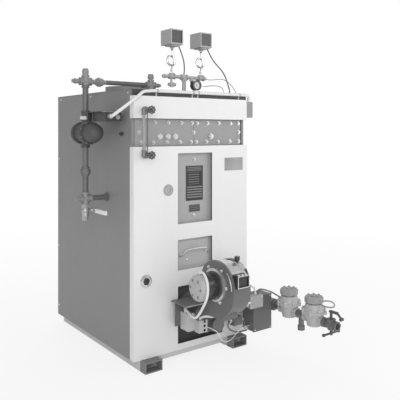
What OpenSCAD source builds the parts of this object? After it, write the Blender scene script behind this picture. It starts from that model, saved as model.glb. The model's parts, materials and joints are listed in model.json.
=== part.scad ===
// Packaged gas-fired steam boiler with jacket, water column, pressure controls and front burner.
// Millimetres, +Z up, the burner front faces -Y, origin on the floor midway between the four anchors.
// Places are given as distances from the left side, the front panels and the floor.

/* [Jacket] */
// Width over the side panels
jacket_w = 820; // [760:5:1000]
// Depth of the jacket without burner
jacket_d = 1045; // [950:5:1400]
// Height of the jacket panels
jacket_h = 1500; // [1450:5:1700]
// Sheet thickness of the panels
sheet = 3; // [2:0.5:5]
// Depth that the white pans wrap round the sides
pan_wrap = 42; // [38:1:60]
// Setback of the inner casing behind the front panels
casing_back = 36; // [34:1:60]
// Height of the top panel's front flange
top_flange_h = 40; // [30:1:60]
// Setback of the top panel's front flange
top_flange_y = 8; // [5:1:15]

/* [Front] */
// Height of the upper white pan
upper_pan_h = 125; // [100:1:150]
// Height of the header band between the pans
band_h = 157; // [130:1:190]
// Left edge of the windows
window_x = 293; // [270:1:310]
// Width of the cover and door windows
window_w = 250; // [220:1:280]
// Bottom of the rating-cover window
cover_z = 787; // [750:1:800]
// Height of the rating-cover window
cover_h = 409; // [350:1:415]
// Bottom of the inspection-door window
door_z = 519; // [490:1:530]
// Height of the inspection-door window
door_h = 177; // [150:1:200]
// Bottom of the burner window
burner_win_z = 97; // [85:1:110]
// Width of the burner window
burner_win_w = 330; // [310:1:360]
// Height of the burner window
burner_win_h = 330; // [310:1:345]
// Lap of the recessed covers behind the window edges
cover_lap = 12; // [8:1:20]
// Thickness of the recessed covers
cover_t = 10; // [6:1:14]
// Distance of the sight port from the left side
sight_x = 77; // [70:1:120]
// Height of the sight port
sight_z = 493; // [450:1:600]
// Distance of the ring latch from the left side
latch_x = 226; // [180:1:240]
// Height of the ring latch
latch_z = 988; // [900:1:1050]

/* [Skids] */
// Height of the skids
skid_h = 60; // [50:1:100]
// Width of each skid tube
skid_w = 110; // [80:1:130]
// Wall of the skid tube
skid_t = 6; // [4:0.5:10]
// Distance between the skid centre lines
skid_span = 620; // [560:5:640]
// Overhang of the skids in front of the jacket
skid_front = 50; // [20:1:80]
// Distance between front and rear anchor holes
anchor_span = 800; // [700:5:850]
// Radius of the anchor holes
anchor_r = 9; // [6:0.5:12]
// Depth of the base frame strips
strip_h = 28; // [20:1:40]

/* [Water column] */
// Distance of the column outside the left side
column_x = 136; // [130:1:170]
// Distance of the column behind the front
column_y = 315; // [300:1:380]
// Outside diameter of the column pipe
pipe_d = 34; // [30:1:40]
// Outside diameter of the equalizing pipe
eq_pipe_d = 27; // [22:1:32]
// Height of the equalizing pipe above the jacket
eq_rise = 50; // [45:1:80]
// Distance of the top tee from the left side
tee_x = 304; // [280:1:320]
// Height of the lower cross
cross_z = 937; // [900:1:980]
// Drop of the float chamber axis below the jacket top
float_drop = 246; // [235:1:260]
// Diameter of the float bowl
float_d = 106; // [100:1:116]
// Length of the blowdown lever
lever_l = 185; // [150:1:210]

/* [Gauge glass] */
// Distance of the gauge shanks from the left side
gauge_x = 72; // [66:1:90]
// Offset of the glass from the shanks
glass_side = 34; // [30:1:45]
// Distance of the glass in front of the panels
glass_out = 45; // [42:1:60]
// Distance of the gauge shanks from the band edges
gauge_edge = 45; // [40:1:55]
// Diameter of the glass tube
glass_d = 17; // [14:1:18]
// Diameter of the handwheels
wheel_d = 46; // [40:1:50]

/* [Controls] */
// Distance of the left control from the left side
control_x = 419; // [400:1:440]
// Distance between the two controls
control_span = 226; // [210:1:240]
// Distance of the manifold behind the front
manifold_y = 250; // [220:1:280]
// Height of the manifold above the jacket
manifold_rise = 106; // [100:1:120]
// Height of the control boxes above the jacket
control_rise = 282; // [275:1:300]
// Width of a control box
control_w = 90; // [80:1:100]
// Depth of a control box
control_d = 116; // [100:1:130]
// Height of a control box
control_h = 94; // [85:1:110]
// Diameter of the siphon tube
siphon_d = 13; // [10:1:15]
// Radius of the siphon coil
siphon_r = 30; // [26:1:32]
// Diameter of the pressure gauge
dial_d = 66; // [56:1:76]
// Diameter of the conduit along the front edge
conduit_d = 18; // [15:1:20]

/* [Burner] */
// Distance of the blower axis in front of the panels
blower_y = 270; // [260:1:290]
// Height of the blower axis
blower_z = 488; // [480:1:500]
// Distance of the blower side plate from the left side
blower_x = 354; // [345:1:365]
// Width of the blower drum
blower_w = 124; // [115:1:135]
// Smallest radius of the scroll
scroll_r = 124; // [118:1:130]
// Growth of the scroll radius in a full turn
scroll_grow = 100; // [80:1:106]
// Diameter of the motor
motor_d = 148; // [140:1:160]
// Length of the motor
motor_l = 136; // [125:1:150]
// Diameter of the blast tube
blast_d = 180; // [165:1:190]
// Height of the blast tube
blast_z = 262; // [258:1:268]
// Width of the control cabinet
cabinet_w = 142; // [125:1:160]
// Depth of the control cabinet
cabinet_d = 102; // [90:1:106]
// Height of the control cabinet
cabinet_h = 208; // [195:1:230]
// Distance of the cabinet from the left side
cabinet_x = 725; // [715:1:735]

/* [Gas train] */
// Distance of the gas train from the left side
gas_x = 920; // [912:1:960]
// Height of the gas train
gas_z = 245; // [240:1:250]
// Outside diameter of the gas pipe
gas_d = 42; // [36:1:46]
// Diameter of the valve diaphragm flange
gas_valve_d = 140; // [130:1:150]
// Distance from the front to the first gas valve
gas_valve_y = 272; // [262:1:285]
// Distance between the two gas valves
gas_valve_span = 198; // [190:1:215]

/* [Hidden] */
$fn = 48;
eps = 0.01;
seat_gap = 0.3;
stem_gap = 0.6;
top_z = skid_h + jacket_h;
upper_top = top_z - top_flange_h;
band_top = upper_top - upper_pan_h;
lower_top = band_top - band_h;
lower_z = skid_h + 2;
seat_y = casing_back;
cover_y = seat_y - cover_t;
eq_z = top_z + eq_rise;
float_z = top_z - float_drop;
gauge_low_z = lower_top - gauge_edge;
gauge_high_z = band_top + gauge_edge;
manifold_z = top_z + manifold_rise;
control_z = top_z + control_rise;
control_x2 = control_x + control_span;

white = [0.90, 0.90, 0.89];
grey = [0.45, 0.45, 0.46];
mid = [0.60, 0.60, 0.61];
pale = [0.75, 0.75, 0.75];
dark = [0.25, 0.25, 0.26];
black = [0.12, 0.12, 0.13];
iron = [0.30, 0.30, 0.31];
steel = [0.70, 0.70, 0.71];

// Places a child by its distances from the left side, the front and the floor
module at(x, y, z) {
  translate([x - jacket_w / 2, y - jacket_d / 2, z]) children();
}

module bar(x0, x1, y0, y1, z0, z1) {
  at(x0, y0, z0) cube([x1 - x0, y1 - y0, z1 - z0]);
}

module rod_x(x0, x1, y, z, d) {
  at(x0, y, z) rotate([0, 90, 0]) cylinder(h = x1 - x0, d = d);
}

module rod_y(y0, y1, x, z, d) {
  at(x, y1, z) rotate([90, 0, 0]) cylinder(h = y1 - y0, d = d);
}

module rod_z(z0, z1, x, y, d) {
  at(x, y, z0) cylinder(h = z1 - z0, d = d);
}

// Turns +Z of a child towards a direction
module aim(v) {
  rotate([0, acos(v[2] / norm(v)), atan2(v[1], v[0])]) children();
}

// Screwed fitting: one banded arm for each direction, all of one length
module fitting(x, y, z, arms, d, reach) {
  at(x, y, z) {
    sphere(d = d * 1.06);
    for (v = arms) aim(v) {
      cylinder(h = reach, d = d);
      translate([0, 0, reach - 9]) cylinder(h = 9, d = d + 7);
    }
  }
}

// Square-headed plug that screws into a fitting
module plug(x, y, z, v, d, h) {
  at(x, y, z) aim(v) {
    cylinder(h = h * 0.55, d = d);
    translate([-d * 0.32, -d * 0.32, h * 0.5]) cube([d * 0.64, d * 0.64, h * 0.5]);
  }
}

// Pipe union: two octagon ends and a larger nut
module pipe_union(x, y, z, v, d) {
  at(x, y, z) aim(v) {
    cylinder(h = d * 1.5, d = d * 1.45, $fn = 8);
    translate([0, 0, d * 0.35]) cylinder(h = d * 0.75, d = d * 1.85, $fn = 8);
  }
}

function unit(v) = v / norm(v);

// Smooth curve through a list of points
function spline(p, n) = concat([for (i = [0:len(p) - 2], k = [0:n - 1]) let (
    t = k / n, a = p[max(i - 1, 0)], b = p[i], c = p[i + 1], d = p[min(i + 2, len(p) - 1)])
  0.5 * (2 * b + (c - a) * t + (2 * a - 5 * b + 4 * c - d) * t * t + (3 * b - a - 3 * c + d) * t * t * t)],
  [p[len(p) - 1]]);

// Round tube swept along a smooth curve, with a straight stub at each end
module cord(from, p, to, n, d, ref) {
  sweep(concat([from], spline(p, n), [to]), d, ref);
}

function size_at(d, i) = is_list(d) ? d[i] : d;

// Round tube swept along a list of points, with one diameter or one for each point
module sweep(path, d, ref, sides = 10) {
  n = len(path);
  tang = [for (i = [0:n - 1]) unit(path[min(i + 1, n - 1)] - path[max(i - 1, 0)])];
  side = [for (t = tang) unit(cross(t, ref))];
  up = [for (i = [0:n - 1]) cross(side[i], tang[i])];
  pts = [for (i = [0:n - 1], k = [0:sides - 1]) let (a = 360 * k / sides)
    path[i] + size_at(d, i) / 2 * (cos(a) * side[i] + sin(a) * up[i])];
  walls = [for (i = [0:n - 2], k = [0:sides - 1]) let (j = (k + 1) % sides)
    [i * sides + k, (i + 1) * sides + k, (i + 1) * sides + j, i * sides + j]];
  first = [[for (k = [0:sides - 1]) k]];
  last = [[for (k = [0:sides - 1]) n * sides - 1 - k]];
  at(0, 0, 0) polyhedron(pts, concat(first, walls, last), convexity = 6);
}

// Hollow skid tube with two anchor holes in its bottom wall
module skid(xc) {
  difference() {
    bar(xc - skid_w / 2, xc + skid_w / 2, -skid_front, jacket_d, 0, skid_h);
    bar(xc - skid_w / 2 + skid_t, xc + skid_w / 2 - skid_t, -skid_front - 1, jacket_d + 1,
      skid_t, skid_h - skid_t);
    for (s = [-1, 1])
      at(xc, jacket_d / 2 + s * anchor_span / 2, -1) cylinder(h = skid_t + 2, r = anchor_r);
  }
}

module left_skid() {
  color(dark) skid(jacket_w / 2 - skid_span / 2);
}

module right_skid() {
  color(dark) skid(jacket_w / 2 + skid_span / 2);
}

// Rectangular strip frame between the skids
module base_frame() {
  x0 = jacket_w / 2 - skid_span / 2 + skid_w / 2;
  x1 = jacket_w / 2 + skid_span / 2 - skid_w / 2;
  color(pale) difference() {
    bar(x0, x1, sheet + 5, jacket_d - 5, skid_h - strip_h, skid_h);
    bar(x0 + 40, x1 - 40, sheet + 45, jacket_d - 45, skid_h - strip_h - 1, skid_h + 1);
  }
}

// Closed inner body behind the jacket panels
module furnace_casing() {
  color(dark)
    bar(2 * sheet, jacket_w - 2 * sheet, seat_y, jacket_d - sheet, skid_h, top_z - sheet);
}

// Side sheet with a narrow return at its front edge
module side_sheet() {
  bar(sheet, 2 * sheet, seat_y - 2 * sheet, jacket_d, skid_h, top_z - sheet);
  bar(sheet, 20, seat_y - 2 * sheet, seat_y - sheet, skid_h, top_z - sheet);
}

module left_side_panel() {
  color(grey) difference() {
    side_sheet();
    rod_x(sheet - 1, 2 * sheet + 1, column_y, cross_z, pipe_d + 8);
  }
}

module right_side_panel() {
  color(grey) mirror([1, 0, 0]) side_sheet();
}

module rear_panel() {
  color(grey)
    bar(2 * sheet, jacket_w - 2 * sheet, jacket_d - sheet, jacket_d, skid_h, top_z - sheet);
}

// Top sheet with a front flange turned down
module top_panel() {
  color(grey) {
    bar(0, jacket_w, top_flange_y, jacket_d, top_z - sheet, top_z);
    bar(0, jacket_w, top_flange_y, top_flange_y + sheet, upper_top + 1, top_z - sheet / 2);
  }
}

// White pan with all four edges returned
module pan(z0, z1) {
  difference() {
    bar(0, jacket_w, 0, pan_wrap, z0, z1);
    bar(sheet, jacket_w - sheet, sheet, pan_wrap + 1, z0 + sheet, z1 - sheet);
    bar(sheet, jacket_w - sheet, top_flange_y + 12, pan_wrap + 1, z0 - 1, z1 + 1);
  }
}

module upper_front_panel() {
  color(white) difference() {
    pan(band_top, upper_top);
    rod_y(-1, sheet + 1, gauge_x, gauge_high_z, 28);
  }
}

module lower_front_panel() {
  color(white) difference() {
    pan(lower_z, lower_top);
    bar(window_x, window_x + window_w, -1, sheet + 1, cover_z, cover_z + cover_h);
    bar(window_x, window_x + window_w, -1, sheet + 1, door_z, door_z + door_h);
    bar(window_x, window_x + burner_win_w, -1, sheet + 1, burner_win_z, burner_win_z + burner_win_h);
    rod_y(-1, sheet + 1, gauge_x, gauge_low_z, 28);
  }
}

// Header plate with a row of square-headed pipe plugs
module header_plate(x0, x1, plugs) {
  y0 = seat_y - 2 * sheet - 2;
  zp = lower_top + 55;
  bar(x0, x1, y0, seat_y, lower_top + 2, band_top - 2);
  for (x = plugs) {
    rod_y(y0 - 5, y0 + 1, x, zp, 34);
    plug(x, y0 - 4, zp, [0, -1, 0], 26, 16);
  }
}

plate_joint = jacket_w / 2 + 15;

module left_header_plate() {
  color(mid) header_plate(22, plate_joint - 1, [186, 240, 291]);
}

module right_header_plate() {
  color(mid) header_plate(plate_joint + 1, jacket_w - 30, [plate_joint + 127]);
}

// Recessed plate behind a window of the lower panel
module window_cover(z, h) {
  lap = cover_lap;
  bar(window_x - lap, window_x + window_w + lap, cover_y, seat_y, z - lap, z + h + lap);
}

// Cover with a raised rating plate and a small plate below it
module rating_cover() {
  xc = window_x + window_w / 2 + 10;
  color(mid) {
    window_cover(cover_z, cover_h);
    bar(xc - 62, xc + 62, cover_y - 3, cover_y + 1, cover_z + 127, cover_z + cover_h - 77);
    bar(xc - 39, xc + 39, cover_y - 3, cover_y + 1, cover_z + 60, cover_z + 101);
  }
}

// Door plate with a pressed raised field
module inspection_door() {
  color(mid) {
    window_cover(door_z, door_h);
    bar(window_x + 16, window_x + window_w - 16, cover_y - 4, cover_y + 1, door_z + 16, door_z + door_h - 16);
  }
}

handle_z = door_z + door_h - 94;
handle_half = 92;
handle_out = 34;
handle_rise = 33;
handle_d = 11;
handle_foot = 26;

// Arched rod pull whose ends spread into round feet
module door_handle() {
  y0 = cover_y - 4;
  h = handle_half;
  mid_x = window_x + window_w / 2;
  arch = spline([[-h, y0 - 8, 0], [-h, y0 - handle_out * 0.6, 3], [-h + 18, y0 - handle_out, handle_rise * 0.8],
    [-h + 50, y0 - handle_out, handle_rise], [h - 50, y0 - handle_out, handle_rise],
    [h - 18, y0 - handle_out, handle_rise * 0.8], [h, y0 - handle_out * 0.6, 3], [h, y0 - 8, 0]], 4);
  foot = [y0, y0 - 5, y0 - 6];
  line = concat([for (y = foot) [-h, y, 0]], arch, [for (k = [2:-1:0]) [h, foot[k], 0]]);
  ends = [handle_foot, handle_foot, handle_d];
  sizes = concat(ends, [for (p = arch) handle_d], [for (k = [2:-1:0]) ends[k]]);
  color(steel) sweep([for (p = line) [mid_x, 0, handle_z] + p], sizes, [0, 0.3, -1], 12);
}

// Round sight port with a flared ring
module sight_port() {
  color(steel) at(sight_x, 0, sight_z) rotate([90, 0, 0]) rotate_extrude()
    polygon([[20, 0], [36, 0], [36, 4], [31, 12], [24, 14], [20, 12]]);
}

// Ring latch with a dished middle
module panel_latch() {
  color(steel) at(latch_x, 0, latch_z) rotate([90, 0, 0]) rotate_extrude()
    polygon([[0, 0], [24, 0], [24, 5], [20, 10], [15, 10], [12, 4], [6, 4], [5, 8], [0, 8]]);
}

glass_x = gauge_x - glass_side;
glass_y = -glass_out;
bonnet_y = glass_y - 16;

// Gauge valve: shank, collar, bonnet, side arm and glass socket, socket upwards
module gauge_valve(z) {
  rod_y(glass_y - 11, seat_y, gauge_x, z, 20);
  rod_y(-9, -seat_gap, gauge_x, z, 42);
  at(gauge_x, -22, z) rotate([90, 0, 0]) cylinder(h = 16, d = 32, $fn = 6);
  rod_y(bonnet_y, glass_y - 9, gauge_x, z, 15);
  rod_x(glass_x, gauge_x, glass_y, z, 16);
  difference() {
    union() {
      at(glass_x, glass_y, z) rotate([0, 0, 180]) sphere(d = 28);
      at(glass_x, glass_y, z + 2) cylinder(h = 20, d = 24);
      at(glass_x, glass_y, z + 17) cylinder(h = 11, d = 30, $fn = 6);
    }
    at(glass_x, glass_y, z + 16) cylinder(h = 20, d = glass_d + 1);
  }
}

module upper_gauge_valve() {
  color(steel) translate([0, 0, 2 * gauge_high_z]) mirror([0, 0, 1]) gauge_valve(gauge_high_z);
}

module lower_gauge_valve() {
  color(steel) gauge_valve(gauge_low_z);
}

module gauge_glass() {
  color(pale) difference() {
    rod_z(gauge_low_z + 16, gauge_high_z - 16, glass_x, glass_y, glass_d);
    rod_z(gauge_low_z + 15, gauge_high_z - 15, glass_x, glass_y, glass_d - 5);
  }
}

module gauge_guard() {
  color(steel)
    rod_z(gauge_low_z + 8 + seat_gap, gauge_high_z - 8 - seat_gap, glass_x + 22, glass_y, 5);
}

// Scalloped handwheel on a gauge stem
module gauge_wheel(z) {
  y1 = bonnet_y - 6;
  difference() {
    rod_y(y1 - 9, y1, gauge_x, z, wheel_d);
    for (k = [0:7])
      at(gauge_x, y1 + 1, z) rotate([90, 0, 0]) rotate([0, 0, 45 * k + 22.5])
        translate([wheel_d / 2 + 2, 0, -1]) cylinder(h = 13, d = 12);
    for (k = [0:3])
      at(gauge_x, y1 + 1, z) rotate([90, 0, 0]) rotate([0, 0, 90 * k])
        translate([12.5, 0, -1]) cylinder(h = 13, d = 8);
  }
  rod_y(y1 - 14, bonnet_y - stem_gap, gauge_x, z, 11);
}

module upper_gauge_wheel() {
  color(steel) gauge_wheel(gauge_high_z);
}

module lower_gauge_wheel() {
  color(steel) gauge_wheel(gauge_low_z);
}

flue_d = 300;
flue_h = 70;
flue_y = jacket_d - 250;

module flue_collar() {
  color(grey) at(jacket_w / 2, flue_y, top_z) difference() {
    union() {
      cylinder(h = flue_h, d = flue_d + 6);
      cylinder(h = 4, d = flue_d + 50);
    }
    translate([0, 0, 5]) cylinder(h = flue_h, d = flue_d);
  }
}

steam_d = 74;
steam_y = jacket_d - 520;

module steam_outlet() {
  color(iron) at(jacket_w / 2, steam_y, top_z) difference() {
    union() {
      cylinder(h = 12, d = steam_d + 56);
      cylinder(h = 60, d = steam_d + 18);
    }
    translate([0, 0, 20]) cylinder(h = 50, d = steam_d);
  }
}

float_top = float_z + 128;
float_low = float_z - 84;

// Cross at the head of the column with its plugs and the riser
module upper_cross() {
  x = -column_x;
  y = column_y;
  color(iron) {
    fitting(x, y, eq_z, [[1, 0, 0], [-1, 0, 0], [0, 0, 1], [0, 0, -1]], pipe_d + 6, 36);
    rod_z(float_top, eq_z - 30, x, y, pipe_d);
    rod_z(eq_z + 34, eq_z + 52, x, y, pipe_d + 2);
    plug(x, y, eq_z + 50, [0, 0, 1], pipe_d + 4, 24);
    rod_x(x - 62, x - 34, y, eq_z, 26);
    plug(x - 56, y, eq_z, [-1, 0, 0], 30, 26);
  }
}

// Pipe from the cross over the jacket with a union and a plugged tee
module equalizing_line() {
  x0 = 36 - column_x;
  y = column_y;
  color(iron) {
    rod_x(x0, tee_x, y, eq_z, eq_pipe_d);
    pipe_union(x0 + 30, y, eq_z, [1, 0, 0], eq_pipe_d + 2);
    fitting(tee_x, y, eq_z, [[1, 0, 0], [-1, 0, 0], [0, 0, 1], [0, 0, -1]], eq_pipe_d + 8, 32);
    rod_z(top_z, eq_z - 28, tee_x, y, eq_pipe_d);
    rod_z(eq_z + 30, eq_z + 44, tee_x, y, eq_pipe_d);
    plug(tee_x, y, eq_z + 40, [0, 0, 1], eq_pipe_d + 12, 28);
    rod_x(tee_x + 30, tee_x + 50, y, eq_z, 22);
    plug(tee_x + 46, y, eq_z, [1, 0, 0], 26, 24);
  }
}

// Float chamber: round body across the column with a bolted flange at each end
module float_body() {
  x = -column_x;
  y = column_y;
  color(dark) {
    rod_y(y - 60, y + 52, x, float_z, float_d - 4);
    rod_y(y - 62, y - 44, x, float_z, float_d + 28);
    rod_y(y + 44, y + 60, x, float_z, float_d + 22);
    at(x, y + 60 - eps, float_z) rotate([-90, 0, 0]) cylinder(h = 26, d1 = 96, d2 = 70);
    rod_z(float_low, float_top, x, y, pipe_d + 10);
    rod_z(float_top - 14, float_top, x, y, pipe_d + 18);
    rod_z(float_low, float_low + 14, x, y, pipe_d + 18);
    for (a = [22.5:45:360])
      at(x, y + 74, float_z) rotate([90, 0, 0]) rotate([0, 0, a])
        translate([float_d / 2 + 1, 0, 0]) cylinder(h = 16, d = 13, $fn = 6);
  }
}

bowl_y = column_y - 62;

// Domed float bowl that faces the front
module float_bowl() {
  r = float_d / 2;
  color(black) at(-column_x, bowl_y, float_z) rotate([90, 0, 0]) rotate_extrude($fn = 72)
    polygon(concat([[0, 0], [r, 0], [r, 46]], [for (a = [10:10:80]) [r * cos(a), 46 + r * sin(a)]],
      [[0, 46 + r]]));
}

switch_x = 8 - column_x;
switch_w = 96;
switch_d = 158;
switch_y = column_y - 236;
switch_z = float_z + float_d / 2 + 12;
switch_h = 50;

// Switch housing over the bowl with its top plate, carried by the front flange
module float_switch() {
  foot = float_z + float_d / 2 + 14 + seat_gap;
  color(black) {
    bar(switch_x, switch_x + switch_w, switch_y, switch_y + switch_d, switch_z, switch_z + switch_h);
    bar(switch_x - 24, switch_x + switch_w + 4, switch_y - 4, bowl_y + 18, switch_z + switch_h - 1,
      switch_z + switch_h + 4);
    bar(-column_x - 14, -column_x + 14, bowl_y + 2, bowl_y + 16, foot, switch_z + switch_h);
    rod_y(switch_y - 10, switch_y + 1, switch_x + switch_w - 26, switch_z + 22, 26);
    rod_y(switch_y - 20, switch_y + 1, switch_x + 22, switch_z + 26, 28);
  }
}

union_z = cross_z + 130;

module drop_pipe() {
  color(iron) {
    rod_z(cross_z + 36, float_low, -column_x, column_y, pipe_d);
    pipe_union(-column_x, column_y, union_z, [0, 0, 1], pipe_d);
  }
}

// Cross at the foot of the column with a plug and the branch into the casing
module lower_cross() {
  x = -column_x;
  y = column_y;
  color(iron) {
    fitting(x, y, cross_z, [[1, 0, 0], [-1, 0, 0], [0, 0, 1], [0, 0, -1]], pipe_d + 6, 36);
    plug(x - 30, y, cross_z, [-1, 0, 0], pipe_d, 34);
    rod_x(x, 2 * sheet, y, cross_z, pipe_d - 4);
    rod_x(-10, sheet - seat_gap, y, cross_z, pipe_d + 16);
  }
}

lever_z = cross_z - 68;
stem_x = 30 - column_x;
drain_d = 30;
drain_z = cross_z - 126;

// Ball valve below the cross with hexagon ends and an open outlet
module blowdown_valve() {
  x = -column_x;
  y = column_y;
  color(pale) difference() {
    union() {
      at(x, y, drain_z) cylinder(h = 26, d = drain_d + 14, $fn = 6);
      rod_z(drain_z, cross_z - 36, x, y, 40);
      at(x, y, cross_z - 52) cylinder(h = 16, d = 46, $fn = 6);
      at(x, y, lever_z) sphere(d = 47);
      rod_x(x, stem_x, y, lever_z, 18);
    }
    rod_z(drain_z - 1, drain_z + 24, x, y, drain_d);
  }
}

// Flat lever with a sleeve, turned by the valve stem
module blowdown_lever() {
  x0 = stem_x + stem_gap;
  y = column_y;
  color(white) {
    rod_x(x0, x0 + 14, y, lever_z, 22);
    bar(x0 + 4, x0 + 9, y - lever_l, y, lever_z - 8, lever_z + 8);
    bar(x0 + 1, x0 + 12, y - lever_l, y - 58, lever_z - 11, lever_z + 11);
  }
}

riser_x = control_x + 92;
dial_x = control_x + 150;
dial_z = manifold_z - 52;
cock_x = control_x - 4;

// Manifold pipe with its tees, riser, gauge drop and small cock
module control_manifold() {
  y = manifold_y;
  z = manifold_z;
  x0 = control_x - 58;
  x1 = control_x2 + 26;
  color(iron) {
    rod_x(x0, x1, y, z, 21);
    plug(x0 + 8, y, z, [-1, 0, 0], 26, 20);
    plug(x1 - 8, y, z, [1, 0, 0], 26, 20);
    fitting(riser_x, y, z, [[1, 0, 0], [-1, 0, 0], [0, 0, -1]], 29, 24);
    rod_z(top_z, z, riser_x, y, 24);
    at(riser_x, y, top_z) cylinder(h = 16, d = 46, $fn = 8);
    for (x = [control_x, control_x2]) fitting(x, y, z, [[1, 0, 0], [-1, 0, 0], [0, 0, 1]], 27, 22);
    rod_z(z - 50, z, cock_x, y, 14);
    rod_x(cock_x - 22, cock_x + 30, y, z - 50, 20);
    rod_z(z - 66, z - 36, cock_x + 4, y, 26);
    rod_z(z - 22, z, dial_x, y, 24);
  }
}

// Pigtail siphon with one coil between manifold and control
module siphon(x) {
  y = manifold_y;
  z0 = manifold_z + 22 + seat_gap;
  z1 = control_z - seat_gap;
  zc = (z0 + z1) / 2;
  coil = [for (a = [-40:22.5:320]) [x - 8 + siphon_r * cos(a), y + 10 - 20 * (a + 40) / 360,
    zc + siphon_r * sin(a)]];
  low = [[x, y, z0], [x, y, z0 + 4], [x - 2, y + 6, z0 + 18]];
  high = [[x - 2, y - 6, z1 - 16], [x, y, z1 - 4], [x, y, z1]];
  sweep(concat(low, coil, high), siphon_d, [0, 1, 0]);
}

module left_siphon() {
  color(steel) siphon(control_x);
}

module right_siphon() {
  color(steel) siphon(control_x2);
}

// Pressure control: case with a windowed front, base tray and hexagon spud
module control_box(x) {
  x0 = x - control_w / 2;
  y0 = manifold_y - control_d / 2;
  z0 = control_z + 18;
  difference() {
    bar(x0, x0 + control_w, y0, y0 + control_d, z0, z0 + control_h);
    bar(x0 + 7, x0 + control_w - 7, y0 - 1, y0 + 5, z0 + 10, z0 + control_h - 7);
  }
  bar(x0 + 14, x0 + control_w - 14, y0 + 12, y0 + control_d - 30, z0 - 8, z0 + 1);
  at(x, manifold_y, control_z) cylinder(h = 12, d = 28, $fn = 6);
  rod_z(control_z + 10, z0, x, manifold_y, 20);
}

module left_control() {
  color(mid) control_box(control_x);
}

module right_control() {
  color(mid) control_box(control_x2);
}

// Dial gauge on an angled tail below the manifold
module pressure_gauge() {
  y0 = manifold_y - 62;
  color(black) {
    difference() {
      rod_y(y0, y0 + 30, dial_x, dial_z, dial_d);
      rod_y(y0 - 1, y0 + 4, dial_x, dial_z, dial_d - 9);
    }
    rod_y(y0 + 29, manifold_y, dial_x, dial_z, 13);
    rod_z(dial_z, manifold_z - 22 - seat_gap, dial_x, manifold_y, 14);
    at(dial_x, manifold_y, dial_z) sphere(d = 19);
  }
}

cable_d = 8;
cable_z = control_z + 18 - seat_gap;

module left_control_cable() {
  x = control_x + control_w / 2 - 6;
  y = manifold_y - 20;
  ze = manifold_z + 16 + seat_gap;
  color(dark) cord([x, y, cable_z], [[x, y, cable_z - 6], [x + 18, y - 4, cable_z - 50],
    [x + 34, y - 6, cable_z - 100], [riser_x, manifold_y - 4, ze + 30], [riser_x, manifold_y, ze + 5]],
    [riser_x, manifold_y, ze], 3, cable_d, [0, 1, 0]);
}

module right_control_cable() {
  x = control_x2 + control_w / 2 - 6;
  y = manifold_y - 20;
  xe = jacket_w - 84;
  ze = top_z + seat_gap;
  color(dark) cord([x, y, cable_z], [[x, y, cable_z - 6], [x + 16, y - 40, cable_z - 80],
    [xe - 14, 110, ze + 130], [xe - 1, 72, ze + 32], [xe, 70, ze + 6]],
    [xe, 70, ze], 4, cable_d, [0, 1, 0]);
}

conduit_y = top_flange_y - conduit_d / 2 - 2 * seat_gap;
conduit_z = top_z - conduit_d / 2 - 1;
box_z = top_z - 150;
box_h = 100;

// Flexible conduit from the switch along the front edge to the side box
module top_conduit() {
  xs = switch_x + 22;
  ys = switch_y - 20 - seat_gap;
  zs = switch_z + 26;
  xe = jacket_w + 26;
  zt = box_z + box_h + seat_gap;
  bend = [[xs, ys - 5, zs], [xs + 12, ys - 34, zs + 16], [10, -16, top_z - 52], [54, -9, top_z - 20],
    [96, conduit_y, conduit_z - 3], [126, conduit_y, conduit_z]];
  drop = [[jacket_w - 110, conduit_y, conduit_z], [jacket_w - 30, conduit_y, conduit_z],
    [jacket_w + 14, conduit_y + 3, conduit_z - 6], [xe - 1, 12, zt + 16], [xe, 17, zt + 4]];
  color(white) sweep(concat([[xs, ys, zs]], spline(bend, 4), spline(drop, 4), [[xe, 17, zt]]), conduit_d,
    [0, 1, 0.35]);
}

module side_junction_box() {
  color(mid) {
    bar(jacket_w, jacket_w + 50, 0, 104, box_z, box_z + box_h);
    bar(jacket_w + 49, jacket_w + 54, 4, 100, box_z + 4, box_z + box_h - 4);
  }
}

// Radius of the blower scroll, growing from the top over the front to the outlet
function scroll_at(a, extra) = scroll_r + extra + (a <= 225 ? scroll_grow * a / 360 : 0);
function scroll_point(a, r) = [-r * sin(a), r * cos(a)];
function scroll_ring(extra) = [for (a = [0:7.5:352.5]) scroll_point(a, scroll_at(a, extra))];

module scroll_solid(x0, w, extra) {
  at(x0, -blower_y, blower_z) rotate([90, 0, 90]) linear_extrude(w) polygon(scroll_ring(extra));
}

plate_t = 12;
drum_x = blower_x + plate_t;
drum_end = blower_x + blower_w;
tube_x = blower_x + blower_w / 2;
throat_y = -blower_y - 70;
shelf_z = blower_z - 122;
rack_y = -48;

// Round gas head under the blast tube, with room round it for a cut
module gas_head(room) {
  rod_y(-150 - room, -20 + room, tube_x + 56, blast_z - 52, 84 + 2 * room);
}

// Side plate, throat, blast tube and the shelf and rack that carry the ignition parts
module burner_housing() {
  color(dark) {
    difference() {
      union() {
        scroll_solid(blower_x, plate_t, 8);
        bar(blower_x, drum_end - 24, throat_y, -110, blast_z + 44, blower_z - 70);
      }
      scroll_solid(drum_x, blower_w, seat_gap);
    }
    rod_y(-118, seat_y, tube_x, blast_z, blast_d);
    rod_y(seat_y - 12, seat_y, tube_x, blast_z, blast_d + 60);
    gas_head(0);
    bar(blower_x - 138, blower_x + plate_t / 2, -190, rack_y + 6, shelf_z, shelf_z + 6);
    bar(blower_x - 112, tube_x - blast_d / 4, rack_y, rack_y + 6, blast_z - 40, shelf_z + 1);
  }
}

// Blower drum with an open air inlet on its far side
module blower_drum() {
  color(steel) difference() {
    scroll_solid(drum_x, blower_w - plate_t, 0);
    rod_x(drum_end - 40, drum_end + 1, -blower_y, blower_z, 2 * scroll_r - 78);
  }
}

vents = 6;

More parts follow.
